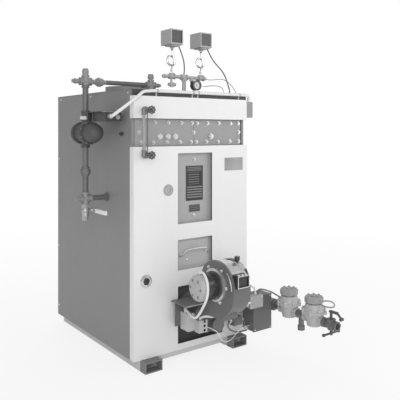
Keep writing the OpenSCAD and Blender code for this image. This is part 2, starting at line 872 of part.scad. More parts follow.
// Motor: mounting ring, barrel, end bell with vent holes and a shaft boss
module burner_motor() {
  l = motor_l;
  r = motor_d / 2;
  color(black) at(blower_x, -blower_y, blower_z) rotate([0, -90, 0]) difference() {
    rotate_extrude($fn = 72)
      polygon([[0, 0], [r + 16, 0], [r + 16, 10], [r + 3, 12], [r + 3, 20], [r, 22], [r, l - 40],
        [r - 2, l - 38], [r - 2, l - 18], [r - 8, l - 7], [r - 20, l], [28, l + 3], [26, l + 8], [0, l + 8]]);
    for (k = [0:vents - 1]) rotate([0, 0, 360 / vents * (k + 0.5)])
      translate([r * 0.62, 0, l - 10]) cylinder(h = 20, d = 17);
  }
}

// Shutter band round the drum's end with its knob and the framed box in front
module air_shutter() {
  xk = drum_end - 16;
  yk = -blower_y - 56;
  zk = blower_z + scroll_r - 1;
  xb = drum_x + 4;
  yb = -blower_y - scroll_r - 46;
  zb = blower_z + 10;
  color(black) {
    difference() {
      scroll_solid(drum_end - 30, 30, 4);
      scroll_solid(drum_end - 31, 32, 0);
      bar(drum_end - 40, drum_end + 40, -blower_y, -blower_y + 300, 0, blower_z + 90);
      bar(drum_end - 40, drum_end + 40, -blower_y - 300, -blower_y, 0, blower_z + 20);
    }
    rod_z(zk, zk + 8, xk, yk, 12);
    rod_z(zk + 6, zk + 27, xk, yk, 30);
    difference() {
      union() {
        bar(drum_end - 32, drum_end - 28, yb, yb + 50, zb + 10, zb + 66);
        difference() {
          bar(xb, drum_end - 28, yb, yb + 50, zb, zb + 66);
          bar(xb + 8, drum_end - 36, yb - 1, yb + 6, zb + 8, zb + 52);
        }
      }
      scroll_solid(drum_x - 1, blower_w + 40, 0);
    }
  }
}

relay_y = -122;
relay_top = blast_z + 4;

module ignition_transformer() {
  x0 = blower_x - 76;
  color(pale)
    bar(x0, tube_x - blast_d / 2 - 4, relay_y, rack_y, blast_z - 58, blast_z + 40);
}

module flame_relay() {
  x0 = blower_x - 32;
  color(pale) difference() {
    bar(x0, x0 + 58, -166, relay_y, blast_z - 64, relay_top);
    for (k = [-1, 0, 1]) rod_y(-167, -158, x0 + 38, blast_z - 28 + 24 * k, 16);
  }
}

cabinet_y = -172;
cabinet_z = 123;

// Burner control cabinet with a lid and a bracket back to the panel
module control_cabinet() {
  x1 = cabinet_x + cabinet_w;
  color(dark) {
    bar(cabinet_x, x1, cabinet_y + 6, cabinet_y + cabinet_d, cabinet_z, cabinet_z + cabinet_h);
    bar(cabinet_x - 2, x1 + 2, cabinet_y, cabinet_y + 7, cabinet_z - 2, cabinet_z + cabinet_h + 2);
    bar(cabinet_x + 16, cabinet_x + 76, cabinet_y + cabinet_d - 1, 0, cabinet_z + 168, cabinet_z + 196);
  }
}

jbox_x = 660;
jbox_z = 284;

module burner_junction_box() {
  color(pale) {
    bar(jbox_x, jbox_x + 96, cabinet_y - 40, cabinet_y, jbox_z, jbox_z + 68);
    bar(jbox_x - 2, jbox_x + 98, cabinet_y - 44, cabinet_y - 39, jbox_z - 2, jbox_z + 70);
  }
}

flex_d = 14;

// Flexible conduit from the motor over its front to the transformer
module motor_conduit() {
  x = blower_x - 106;
  y = -blower_y;
  zt = blower_z + motor_d / 2 + seat_gap;
  xt = blower_x - 64;
  ze = blast_z + 40 + seat_gap;
  color(white) cord([x, y, zt], [[x, y, zt + 6], [x - 8, y - 40, zt + 14], [x - 16, y - 84, zt - 16],
    [x - 24, y - 102, zt - 76], [x - 30, y - 78, zt - 142], [x - 12, y + 24, ze + 22],
    [xt - 8, -90, ze + 22], [xt, -80, ze + 7]], [xt, -80, ze], 3, flex_d, [1, 0.2, 0.1]);
}

// Flexible conduit from the relay in front of the throat to the junction box
module relay_conduit() {
  xr = blower_x - 10;
  zr = relay_top + seat_gap;
  xe = jbox_x - 2 - seat_gap;
  ye = cabinet_y - 41;
  z = blast_z + 33;
  color(white) cord([xr, -145, zr], [[xr, -145, zr + 9], [xr + 10, -180, z - 3],
    [xr + 44, -222, z], [xr + 110, -236, z], [xe - 130, -236, z + 4], [xe - 66, -228, z + 16],
    [xe - 20, ye - 4, z + 26], [xe - 7, ye, z + 26]],
    [xe, ye, z + 26], 3, flex_d, [0, 0.3, 1]);
}

pipe_y = -40;
valve1_y = -gas_valve_y;
valve2_y = valve1_y - gas_valve_span;
valve_half = 70;

// Gas pipe from the blast tube along the panel and round to the train
module gas_pipe() {
  x0 = tube_x + blast_d / 2 + 6;
  color(iron) {
    difference() {
      rod_x(x0 - 40, gas_x, pipe_y, gas_z, gas_d);
      rod_y(-200, 0, tube_x, blast_z, blast_d + 2 * seat_gap);
      gas_head(seat_gap);
    }
    at(x0 + 20, pipe_y, gas_z) aim([1, 0, 0]) cylinder(h = 56, d = gas_d + 14, $fn = 8);
    fitting(gas_x, pipe_y, gas_z, [[-1, 0, 0], [0, -1, 0]], gas_d + 8, 40);
    rod_y(valve1_y + valve_half, pipe_y, gas_x, gas_z, gas_d);
    pipe_union(gas_x, -96, gas_z, [0, -1, 0], gas_d);
  }
}

// Diaphragm gas valve: in-line body, lugged diaphragm flange, bonnet and cap
module gas_valve(yc) {
  d = gas_valve_d;
  for (s = [-1, 1])
    at(gas_x, yc + s * (valve_half - 12), gas_z) aim([0, 1, 0])
      cylinder(h = 24, d = gas_d + 20, center = true, $fn = 8);
  rod_y(yc - valve_half + 4, yc + valve_half - 4, gas_x, gas_z, gas_d + 10);
  at(gas_x, yc, gas_z - 38) cylinder(h = 40, d1 = d - 62, d2 = d - 40);
  at(gas_x, yc, gas_z + 2 - eps) cylinder(h = 36, d1 = d - 40, d2 = d - 16);
  rod_z(gas_z + 36, gas_z + 50, gas_x, yc, d);
  for (a = [0:45:315])
    at(gas_x, yc, gas_z + 34) rotate([0, 0, a + 22.5]) translate([d / 2 - 4, 0, 0]) cylinder(h = 22, d = 20);
  at(gas_x, yc, gas_z + 50 - eps) cylinder(h = 40, d1 = d - 14, d2 = d - 46);
  at(gas_x, yc, gas_z + 88) cylinder(h = 34, d = d - 62, $fn = 8);
  rod_z(gas_z + 120, gas_z + 134, gas_x, yc, 34);
}

module first_gas_valve() {
  color(mid) gas_valve(valve1_y);
}

module second_gas_valve() {
  color(mid) gas_valve(valve2_y);
}

// Nipple and capped drip leg between the two valves
module gas_drip_leg() {
  yc = (valve1_y + valve2_y) / 2;
  color(iron) {
    rod_y(valve2_y + valve_half, valve1_y - valve_half, gas_x, gas_z, gas_d);
    rod_z(gas_z - 88, gas_z, gas_x, yc, 32);
    rod_z(gas_z - 92, gas_z - 66, gas_x, yc, 42);
  }
}

cock_y = valve2_y - valve_half - 56;
inlet_d = 34;

plug_d = 16;

// Plug cock at the train's inlet, bored for the plug's shaft
module gas_cock() {
  y1 = valve2_y - valve_half;
  color(iron) difference() {
    union() {
      rod_y(cock_y - 44, y1, gas_x, gas_z, gas_d);
      at(gas_x, cock_y - 20, gas_z) aim([0, -1, 0]) cylinder(h = 26, d = gas_d + 14, $fn = 8);
      at(gas_x, y1, gas_z) aim([0, -1, 0]) cylinder(h = 24, d = gas_d + 14, $fn = 8);
      at(gas_x, cock_y, gas_z - 28) cylinder(h = 60, d1 = 40, d2 = 52);
    }
    rod_y(cock_y - 47, cock_y - 18, gas_x, gas_z, inlet_d);
    rod_z(gas_z - 40, gas_z + 40, gas_x, cock_y, plug_d + 2 * stem_gap);
  }
}

// Plug shaft with a ball-ended cross handle below and a bent lever on top
module gas_cock_handle() {
  z0 = gas_z - 48;
  z1 = gas_z + 76;
  half = 62;
  color(steel) {
    rod_z(z0 - 10, z1, gas_x, cock_y, plug_d);
    at(gas_x, cock_y, z0) rotate([0, 90, 0]) rotate_extrude()
      polygon([[0, -half - 9], [7, -half - 7], [10, -half], [7, -half + 7], [6, -half + 12], [6, half - 12],
        [7, half - 7], [10, half], [7, half + 7], [0, half + 9]]);
    bar(gas_x - 8, gas_x + 8, cock_y - 46, cock_y + 10, z1 - 9, z1 + 2);
    at(gas_x, cock_y - 42, z1 - 7) rotate([40, 0, 0]) translate([-6, -42, 0]) cube([12, 44, 7]);
    rod_x(gas_x - 10, gas_x + 10, cock_y - 72, z1 - 30, 18);
  }
}

left_skid();
right_skid();
base_frame();
furnace_casing();
left_side_panel();
right_side_panel();
rear_panel();
top_panel();
upper_front_panel();
lower_front_panel();
left_header_plate();
right_header_plate();
rating_cover();
inspection_door();
door_handle();
sight_port();
panel_latch();
upper_gauge_valve();
lower_gauge_valve();
gauge_glass();
gauge_guard();
upper_gauge_wheel();
lower_gauge_wheel();
flue_collar();
steam_outlet();
upper_cross();
equalizing_line();
float_body();
float_bowl();
float_switch();
drop_pipe();
lower_cross();
blowdown_valve();
blowdown_lever();
control_manifold();
left_siphon();
right_siphon();
left_control();
right_control();
pressure_gauge();
left_control_cable();
right_control_cable();
top_conduit();
side_junction_box();
burner_housing();
blower_drum();
burner_motor();
air_shutter();
ignition_transformer();
flame_relay();
control_cabinet();
burner_junction_box();
motor_conduit();
relay_conduit();
gas_pipe();
first_gas_valve();
gas_drip_leg();
second_gas_valve();
gas_cock();
gas_cock_handle();
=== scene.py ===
import json
import math

import bmesh
import bpy
import numpy as np
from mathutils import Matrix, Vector


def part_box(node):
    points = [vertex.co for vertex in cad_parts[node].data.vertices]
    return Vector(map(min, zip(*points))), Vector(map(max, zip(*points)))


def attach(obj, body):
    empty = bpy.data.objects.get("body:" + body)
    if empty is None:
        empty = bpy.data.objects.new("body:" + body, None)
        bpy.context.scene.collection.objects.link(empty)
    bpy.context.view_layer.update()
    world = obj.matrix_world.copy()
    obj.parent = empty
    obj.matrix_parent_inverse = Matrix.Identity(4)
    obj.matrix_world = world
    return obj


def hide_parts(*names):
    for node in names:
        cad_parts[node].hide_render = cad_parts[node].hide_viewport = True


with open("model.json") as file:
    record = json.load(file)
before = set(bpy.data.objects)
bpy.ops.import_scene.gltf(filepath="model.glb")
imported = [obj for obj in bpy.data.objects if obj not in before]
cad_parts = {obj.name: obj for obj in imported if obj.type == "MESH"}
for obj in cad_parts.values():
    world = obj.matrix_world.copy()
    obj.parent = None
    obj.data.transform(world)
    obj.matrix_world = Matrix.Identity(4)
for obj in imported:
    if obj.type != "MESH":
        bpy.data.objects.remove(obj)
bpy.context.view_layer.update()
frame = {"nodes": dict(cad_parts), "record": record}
nodes = frame["nodes"]
scene = bpy.context.scene
corner = np.array([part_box("lower_front_panel")[0].x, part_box("lower_front_panel")[0].y, 0.0])


def toRow(points):  # corner millimetres to the row frame's metres
    return corner + 0.001 * np.asarray(points, float)


print("frame loaded:", len(nodes), "nodes")

# Camera and lamps.

photoView = {
    "place": (-1.959, -3.2015, 1.322),   # metres, row frame
    "turn": -36.75,                      # degrees about Z, level lens
    "lens": 50.74, "sensor": 36.0,
    "shiftY": -0.17125,                  # the frame sits below the horizon
}


def makeCamera(view):
    data = bpy.data.cameras.new("photoCamera")
    data.lens, data.sensor_width, data.shift_y = view["lens"], view["sensor"], view["shiftY"]
    camera = bpy.data.objects.new("photoCamera", data)
    camera.location = view["place"]
    camera.rotation_euler = (math.pi / 2, 0, math.radians(view["turn"]))
    scene.collection.objects.link(camera)
    scene.camera = camera


studio = {
    "sky": 0.55,                                        # world level on the object
    "lamps": {                                          # place, aim, size in metres, watts
        "keyLamp": ((-4.8, -7.2, 3.0), (0, 0, 0.8), 5.0, 282),
        "sideLamp": ((3.6, -3.4, 2.2), (0, -0.3, 0.6), 2.6, 44),
        "backLamp": ((1.5, 4.2, 4.0), (0, 0, 1.0), 3.0, 90),
    },
    "floorTone": 0.86, "floorHalf": 30.0, "floorLines": 13, "floorDrop": 0.0004,
    "nearGlow": 0.82, "fade": (1.2, 4.5),               # the floor turns white over this reach, metres
}


def aimAt(place, target):
    return (Vector(target) - Vector(place)).to_track_quat("-Z", "Y").to_euler()


def makeLamps(look):
    for name, (place, target, size, watts) in look["lamps"].items():
        data = bpy.data.lights.new(name, "AREA")
        data.energy, data.size = watts, size
        lamp = bpy.data.objects.new(name, data)
        lamp.location, lamp.rotation_euler = place, aimAt(place, target)
        scene.collection.objects.link(lamp)


makeCamera(photoView)
makeLamps(studio)
scene.view_settings.view_transform = "Standard"
print("camera and lamps set")

# Shader sums.


class Signal:  # a shader socket that takes part in sums
    def __init__(self, finish, socket):
        self.finish, self.socket = finish, socket

    def sum(self, operation, first, second=None):
        values = {0: first} if second is None else {0: first, 1: second}
        return self.finish.node("ShaderNodeMath", {"operation": operation}, values)

    def __add__(self, other):
        return self.sum("ADD", self, other)

    def __sub__(self, other):
        return self.sum("SUBTRACT", self, other)

    def __rsub__(self, other):
        return self.sum("SUBTRACT", other, self)

    def __mul__(self, other):
        return self.sum("MULTIPLY", self, other)

    def __truediv__(self, other):
        return self.sum("DIVIDE", self, other)

    def __pow__(self, other):
        return self.sum("POWER", self, other)

    def __gt__(self, other):
        return self.sum("GREATER_THAN", self, other)

    def __lt__(self, other):
        return self.sum("LESS_THAN", self, other)

    def __mod__(self, other):
        return self.sum("FLOORED_MODULO", self, other)

    def clamped(self):
        return self.finish.node("ShaderNodeClamp", {}, {0: self})

    __radd__, __rmul__ = __add__, __mul__


class Finish:  # one material: its shader, its coordinates and a maker of nodes
    def __init__(self, name):
        self.material = bpy.data.materials.new(name)
        self.material.use_nodes = True
        self.tree = self.material.node_tree
        self.shader = self.tree.nodes["Principled BSDF"]
        self.place = self.node("ShaderNodeTexCoord", out="Object")

    def node(self, kind, settings=None, values=None, out=0):
        made = self.tree.nodes.new(kind)
        for key, value in (settings or {}).items():
            setattr(made, key, value)
        for key, value in (values or {}).items():
            self.join(made.inputs[key], value)
        return Signal(self, made.outputs[out])

    def join(self, socket, value):
        if isinstance(value, Signal):
            self.tree.links.new(value.socket, socket)
        else:
            socket.default_value = value

    def set(self, **values):
        for key, value in values.items():
            self.join(self.shader.inputs[key.replace("_", " ")], value)
        return self

    def axis(self, name):
        return self.node("ShaderNodeSeparateXYZ", {}, {0: self.place}, out=name)

    def noise(self, scale, detail=3.0, stretch=None):
        place = self.place
        if stretch:
            place = self.node("ShaderNodeMapping", {}, {"Vector": place, "Scale": stretch})
        return self.node("ShaderNodeTexNoise", {},
                         {"Vector": place, "Scale": scale, "Detail": detail, "Roughness": 0.55})

    def tone(self, signal, low, high, start=0.0, end=1.0):  # straight ramp of a value
        limits = {"From Min": start, "From Max": end, "To Min": low, "To Max": high}
        return self.node("ShaderNodeMapRange", {"clamp": True}, {"Value": signal, **limits})

    def grey(self, signal):  # a value as a neutral colour
        return self.node("ShaderNodeCombineColor", {}, {0: signal, 1: signal, 2: signal})

    def bump(self, height, strength, distance):
        return self.node("ShaderNodeBump", {},
                         {"Strength": strength, "Distance": distance, "Height": height})

    def edges(self, radius):  # 1 within the radius of an edge, 0 on flats
        rounded = self.node("ShaderNodeBevel", {"samples": 4}, {"Radius": radius})
        flat = self.node("ShaderNodeNewGeometry", out="Normal")
        both = {0: rounded, 1: flat}
        along = self.node("ShaderNodeVectorMath", {"operation": "DOT_PRODUCT"}, both, out="Value")
        return self.tone(along, 1.0, 0.0, 0.80, 0.99)


def pick(mask, first, second):  # first where the mask is 0, second where it is 1
    return mask * (second - first) + first


def rgba(tone):
    return (tone, tone, tone, 1)


# Finishes.

paints = {  # tone, mottling, roughness, coat, peel of the paint, edge wear tone
    "skid_paint": (0.21, 0.30, 0.62, 0.0, 0.5, 0.16),
    "base_paint": (0.60, 0.10, 0.50, 0.0, 0.3, 0.40),
    "casing_paint": (0.065, 0.35, 0.75, 0.0, 0.6, 0.06),
    "jacket_grey": (0.25, 0.07, 0.46, 0.0, 0.5, 0.34),
    "white_enamel": (0.82, 0.03, 0.36, 0.12, 0.25, 0.70),
    "header_grey": (0.40, 0.10, 0.48, 0.0, 0.5, 0.46),
    "float_casting": (0.080, 0.35, 0.55, 0.0, 1.6, 0.12),
    "black_enamel": (0.030, 0.30, 0.28, 0.35, 0.6, 0.09),
    "control_grey": (0.38, 0.08, 0.42, 0.0, 0.4, 0.55),
    "burner_paint": (0.14, 0.22, 0.42, 0.10, 0.7, 0.22),
    "box_grey": (0.40, 0.10, 0.45, 0.0, 0.5, 0.58),
    "cabinet_grey": (0.14, 0.18, 0.40, 0.10, 0.5, 0.22),
    "valve_grey": (0.46, 0.16, 0.45, 0.0, 1.2, 0.50),
    "cap_grey": (0.34, 0.20, 0.45, 0.0, 1.2, 0.50),
}

metals = {  # tone, mottling, roughness, metallic, grain of the surface
    "bright_steel": (0.62, 0.16, 0.28, 0.90, 0.3),
    "bronze_fitting": (0.42, 0.30, 0.34, 0.85, 0.5),
    "black_iron": (0.16, 0.45, 0.50, 0.25, 1.2),
    "bright_sheet": (0.74, 0.12, 0.24, 0.92, 0.2),
}


# Each kind of surface has three noises, coarse to fine, the reach of a worn edge in metres, its wear,
# the parts of the coarse and the fine noise in the mottling, the spread of the roughness, and the bump.
paintGrain = {"noises": (4.0, 55.0, 420.0), "edge": 0.003, "wear": (0.2, 0.9, 0.42, 0.6),
              "cloud": (1.4, 0.8), "spread": (-0.07, 0.12), "bump": 0.10}
# On metals and zoned parts the worn edge is made lighter: partly rubbed wear, partly painted highlight.
metalGrain = {"noises": (9.0, 70.0, 520.0), "edge": 0.002, "wear": 0.35,
              "cloud": (1.6, 1.0), "spread": (-0.08, 0.16), "bump": 0.12}
zoneGrain = {"noises": (6.0, 60.0, 420.0), "edge": 0.003, "wear": (0.1, 0.7, 0.42, 0.6), "wearAndHighlight": 0.5,
             "cloud": (0.14, 0.10), "base": 0.88, "spread": 0.2, "bump": 0.06}
soilLook = {"share": 0.10, "heights": (0.02, 0.5)}       # grime gathers low down
bumpDepth, coatRough = 0.0006, 0.12
finePart, twoNoises = 0.6, (0.7, 1.3)                    # fine noise in the bump, usual range of two noises' sum


def grains(finish, look):
    broad, fine, speck = look["noises"]
    return finish.noise(broad), finish.noise(fine), finish.noise(speck, 2.0)


def paintFinish(name, tone, mottle, rough, coat, peel, worn):
    finish = Finish(name)
    broad, fine, speck = grains(finish, paintGrain)
    soil = finish.tone(finish.axis("Z"), soilLook["share"], 0.0, *soilLook["heights"]) * broad
    coarsePart, mottlePart = paintGrain["cloud"]
    cloud = 1.0 + (broad - 0.5) * mottle * coarsePart + (fine - 0.5) * mottle * mottlePart
    edge = finish.edges(paintGrain["edge"]) * finish.tone(fine, *paintGrain["wear"])
    less, more = paintGrain["spread"]
    body = pick(edge, cloud * tone * (1.0 - soil), worn)
    finish.set(Base_Color=finish.grey(body), Coat_Weight=coat, Coat_Roughness=coatRough,
               Roughness=finish.tone(fine + speck, rough + less, rough + more, *twoNoises),
               Normal=finish.bump(speck + fine * finePart, paintGrain["bump"] * peel, bumpDepth))
    return finish


def metalFinish(name, tone, mottle, rough, metallic, grain):
    finish = Finish(name)
    broad, fine, speck = grains(finish, metalGrain)
    coarsePart, mottlePart = metalGrain["cloud"]
    cloud = 1.0 + (broad - 0.5) * mottle * coarsePart + (fine - 0.5) * mottle * mottlePart
    # lighter edges: partly rubbed wear, partly painted highlight
    edge = finish.edges(metalGrain["edge"]) * metalGrain["wear"]
    less, more = metalGrain["spread"]
    finish.set(Base_Color=finish.grey(cloud * tone * (1.0 + edge)), Metallic=metallic,
               Roughness=finish.tone(fine + broad, rough + less, rough + more, *twoNoises),
               Normal=finish.bump(speck + fine, metalGrain["bump"] * grain, bumpDepth))
    return finish


finishes = {name: paintFinish(name, *look) for name, look in paints.items()}
finishes.update({name: metalFinish(name, *look) for name, look in metals.items()})

sheaths = {  # tone, roughness
    "cable_sheath": (0.13, 0.45), "conduit_white": (0.80, 0.42), "lever_sleeve": (0.84, 0.35),
}


def sheathFinish(name, tone, rough):
    finish = Finish(name)
    fine = finish.noise(120.0)
    finish.set(Base_Color=finish.grey(tone * (0.94 + fine * 0.12)),
               Roughness=finish.tone(fine, rough - 0.08, rough + 0.1),
               Normal=finish.bump(fine, 0.08, 0.0005))
    return finish


finishes.update({name: sheathFinish(name, *look) for name, look in sheaths.items()})


glassLook = {"film": 18.0, "tones": (0.40, 0.56), "rough": (0.02, 0.10), "clear": 0.35, "bend": 1.47}
badgeLook = {"brush": 30.0, "stretch": (0.05, 1.0, 1.0), "tones": (0.30, 0.42), "rough": (0.38, 0.5),
             "metallic": 0.35}


def glassFinish(name, look):
    finish = Finish(name)
    film = finish.noise(look["film"])
    finish.set(Base_Color=finish.grey(finish.tone(film, *look["tones"])), Transmission_Weight=look["clear"],
               IOR=look["bend"], Roughness=finish.tone(film, *look["rough"]))
    return finish


def badgeFinish(name, look):
    finish = Finish(name)
    brushed = finish.noise(look["brush"], 2.0, stretch=look["stretch"])
    finish.set(Base_Color=finish.grey(finish.tone(brushed, *look["tones"])), Metallic=look["metallic"],
               Roughness=finish.tone(brushed, *look["rough"]))
    return finish


def dialFinish(name, look):
    # ticks stand at equal angles in the outer part of the face, and none in its lowest quarter
    finish = Finish(name)
    middle = toRow(look["place"])
    across, up = finish.axis("X") - float(middle[0]), finish.axis("Z") - float(middle[2])
    reach = (across * across + up * up) ** 0.5 / (0.001 * look["radius"])
    angle = across.sum("ARCTAN2", across, up) / (2 * math.pi)
    start, end = look["tickRing"]
    inRing = (reach > start) * (reach < end) * (look["tickTurn"] - angle.sum("ABSOLUTE", angle) > 0.0)
    tick = ((angle * look["ticks"] + 0.5) % 1.0 < look["tickShare"]) * inRing
    paper = look["tone"] + finish.noise(look["paper"]) * look["mottle"]
    finish.set(Base_Color=finish.grey(pick(tick, paper, look["ink"])), Roughness=look["rough"])
    return finish


finishes["gauge_glass"] = glassFinish("gauge_glass", glassLook)
finishes["badge_sheet"] = badgeFinish("badge_sheet", badgeLook)

for subpart in frame["record"]["subparts"]:
    node = nodes[subpart["node"]]
    node.data.materials.clear()
    node.data.materials.append(finishes[subpart["material_slot"]].material)
print("finishes laid on the CAD nodes")

# Nodes with more than one finish: the body's look, then boxes in corner millimetres with looks of their own.
# A look is tone, roughness, metallic and coat. A ruled box has lines: their pitch and their share of it.
far = 5000
steelLook, darkTone = (0.62, 0.32, 0.75, 0.0), (0.14, 0.42, 0.0, 0.1)
pipeLook, fittingLook = (0.16, 0.50, 0.25, 0.0), (0.28, 0.46, 0.1, 0.0)
cockLook, wheelLook = (0.22, 0.40, 0.4, 0.0), (0.12, 0.42, 0.3, 0.0)
headerLook, paleSheet = (0.33, 0.48, 0.0, 0.0), (0.40, 0.45, 0.0, 0.0)
controlLook, windowLook = (0.40, 0.42, 0.0, 0.0), (0.05, 0.3, 0.0, 0.3)
valveLook, capLook = (0.46, 0.45, 0.0, 0.0), (0.33, 0.45, 0.0, 0.0)
skidLook, skidInside = (0.21, 0.62, 0.0, 0.0), (0.60, 0.5, 0.0, 0.0)
ratingFace, windowFace = (0, 24.6), (0, 197.5)           # Y of the rating plates and of the control windows


def zone(look, x=(-far, far), y=(-far, far), z=(-far, far), rule=None):
    return (x[0], y[0], z[0]), (x[1], y[1], z[1]), look, rule


def lineZone(tone, x, z, pitch, share):  # ruled lines on the rating plates
    return zone((tone, 0.4, 0.0, 0.0), x, ratingFace, z, (pitch, share))


zones = {
    "burner_motor": ((0.032, 0.26, 0.0, 0.4), (
        zone((0.46, 0.45, 0.1, 0.0), x=(-far, 256)), zone(steelLook, x=(342, far)))),
    # The drum is dark below z 500 and bright metal above.
    "blower_drum": ((0.74, 0.25, 0.85, 0.0), (zone(darkTone, z=(-far, 500)),)),
    "air_shutter": ((0.030, 0.35, 0.0, 0.2), (zone((0.70, 0.28, 0.8, 0.0), x=(447, far), z=(-far, 611)),)),
    # The top panel's front flange under the conduit is near black: painted shadow of the conduit on the grey
    # flange.
    "top_panel": ((0.235, 0.46, 0.0, 0.0), (zone((0.05, 0.5, 0.0, 0.0), y=(-far, 12), z=(-far, 1557)),)),
    "left_header_plate": (headerLook, (zone(steelLook, y=(-far, 26.5)),)),
    "right_header_plate": (headerLook, (zone(steelLook, y=(-far, 26.5)),)),
    "rating_cover": ((0.40, 0.48, 0.0, 0.0), (
        zone((0.018, 0.35, 0.0, 0.2), (366, 492), ratingFace, (913, 1120)),
        lineZone(0.20, (376, 480), (1086, 1112), 9.0, 0.5),
        lineZone(0.16, (382, 462), (1010, 1080), 14.0, 0.35),
        lineZone(0.22, (374, 484), (930, 1004), 15.0, 0.5),
        zone((0.055, 0.35, 0.0, 0.2), (389, 469), ratingFace, (846, 889)),
        lineZone(0.14, (396, 462), (852, 883), 11.0, 0.4))),
    "left_control": (controlLook, (zone(windowLook, (381, 457), windowFace, (1870, 1947)),)),
    "right_control": (controlLook, (zone(windowLook, (607, 683), windowFace, (1870, 1947)),)),
    "control_manifold": ((0.44, 0.40, 0.1, 0.0), ()),
    "upper_cross": (pipeLook, (zone(fittingLook, z=(1590, far)),)),
    "equalizing_line": (pipeLook, (zone(fittingLook, x=(-far, -8)), zone(fittingLook, x=(270, far)))),
    "lower_cross": (pipeLook, (zone(fittingLook, x=(-far, -96)),)),
    "blowdown_lever": ((0.80, 0.35, 0.0, 0.0), (zone(steelLook, y=(258, far)),)),
    "ignition_transformer": ((0.52, 0.45, 0.0, 0.0), ()),
    "float_switch": ((0.042, 0.40, 0.0, 0.2), (zone((0.40, 0.40, 0.4, 0.0), y=(-far, 78), z=(-far, 1431)),)),
    "first_gas_valve": (valveLook, (zone(capLook, z=(333, far)),)),
    "second_gas_valve": (valveLook, (zone(capLook, z=(333, far)),)),
    "burner_housing": (darkTone, (zone(paleSheet, (-far, 345), (-far, -186), (362, 376)),)),
    "side_junction_box": ((0.29, 0.45, 0.0, 0.0), ()),
    "inspection_door": ((0.47, 0.48, 0.0, 0.0), ()),
    "gas_cock_handle": ((0.09, 0.42, 0.2, 0.0), ()),
    "gauge_guard": (wheelLook, ()),
    "upper_gauge_valve": (cockLook, ()),
    "lower_gauge_valve": (cockLook, ()),
    "upper_gauge_wheel": (wheelLook, ()),
    "lower_gauge_wheel": (wheelLook, ()),
    "panel_latch": ((0.50, 0.35, 0.6, 0.0), ()),
    "left_skid": (skidLook, (zone(skidInside, y=(6, far)),)),
    "right_skid": (skidLook, (zone(skidInside, y=(6, far)),)),
    "flame_relay": ((0.48, 0.45, 0.0, 0.0), (
        zone((0.03, 0.4, 0.0, 0.0), (350, 371), (-165, -157), (190, 290)),)),
}


def insideBox(finish, low, high, rule):
    low, high = toRow(low), toRow(high)
    mask = 1.0
    for name, least, most in zip("XYZ", low, high):
        value = finish.axis(name)
        mask = (value > float(least)) * (value < float(most)) * mask
    return mask * (finish.axis("Z") * (1000.0 / rule[0]) % 1.0 < rule[1]) if rule else mask


def zonedFinish(name, body, boxes):
    finish = Finish(name)
    broad, fine, speck = grains(finish, zoneGrain)
    edge = finish.edges(zoneGrain["edge"]) * finish.tone(fine, *zoneGrain["wear"])
    tone, rough, metallic, coat = body
    for low, high, (ownTone, ownRough, ownMetallic, ownCoat), rule in boxes:
        mask = insideBox(finish, low, high, rule)
        tone, rough = pick(mask, tone, ownTone), pick(mask, rough, ownRough)
        metallic, coat = pick(mask, metallic, ownMetallic), pick(mask, coat, ownCoat)
    coarsePart, mottlePart = zoneGrain["cloud"]
    cloud = zoneGrain["base"] + broad * coarsePart + fine * mottlePart
    # lighter edges: partly rubbed wear, partly painted highlight
    finish.set(Base_Color=finish.grey(cloud * tone * (1.0 + edge * zoneGrain["wearAndHighlight"])), Metallic=metallic,
               Coat_Weight=coat, Coat_Roughness=coatRough, Roughness=rough + (fine - 0.5) * zoneGrain["spread"],
               Normal=finish.bump(speck + fine * finePart, zoneGrain["bump"], bumpDepth))
    return finish


for name, (body, boxes) in zones.items():
    nodes[name].data.materials.clear()
    nodes[name].data.materials.append(zonedFinish(name + "_finish", body, boxes).material)
print("zoned finishes laid")

# Floor and sky.


def makeFloor(look):
    # flat grid just under the feet: (x, y, minus the drop) over equal steps
    half, lines = look["floorHalf"], look["floorLines"]
    steps = np.linspace(-half, half, lines)
    x, y = np.meshgrid(steps, steps, indexing="ij")
    points = np.stack([x, y, 0 * x - look["floorDrop"]], -1).reshape(-1, 3)
    mesh = bpy.data.meshes.new("floor")
    mesh.from_pydata(points.tolist(), [], gridFaces(lines, lines).tolist())
    floor = bpy.data.objects.new("floor", mesh)
    scene.collection.objects.link(floor)
    finish = Finish("floorPaper")
    finish.set(Base_Color=rgba(look["floorTone"]), Roughness=0.9)
    reach = finish.node("ShaderNodeVectorMath", {"operation": "LENGTH"}, {0: finish.place}, out="Value")
    share = finish.tone(reach, look["nearGlow"], 1.0, *look["fade"])
    seen = finish.node("ShaderNodeLightPath", out="Is Camera Ray")
    shiny = finish.node("ShaderNodeLightPath", out="Is Glossy Ray")
    through = finish.node("ShaderNodeLightPath", out="Is Transmission Ray")
    glow = finish.node("ShaderNodeEmission", {}, {"Color": rgba(1.0), "Strength": 1.0})
    plain = Signal(finish, finish.shader.outputs[0])
    share = share * (seen + shiny + through).clamped()
    mix = finish.node("ShaderNodeMixShader", {}, {0: share, 1: plain, 2: glow})
    finish.join(finish.tree.nodes["Material Output"].inputs["Surface"], mix)
    mesh.materials.append(finish.material)


def makeSky(look):
    world = bpy.data.worlds.new("paleSky")
    scene.world = world
    world.use_nodes = True
    tree = world.node_tree
    tree.nodes.clear()
    path = tree.nodes.new("ShaderNodeLightPath")
    lit, shown = tree.nodes.new("ShaderNodeBackground"), tree.nodes.new("ShaderNodeBackground")
    lit.inputs["Strength"].default_value, shown.inputs["Strength"].default_value = look["sky"], 1.0
    lit.inputs["Color"].default_value = shown.inputs["Color"].default_value = rgba(1.0)
    mix, out = tree.nodes.new("ShaderNodeMixShader"), tree.nodes.new("ShaderNodeOutputWorld")
    tree.links.new(path.outputs["Is Camera Ray"], mix.inputs[0])
    tree.links.new(lit.outputs[0], mix.inputs[1])
    tree.links.new(shown.outputs[0], mix.inputs[2])
    tree.links.new(mix.outputs[0], out.inputs["Surface"])


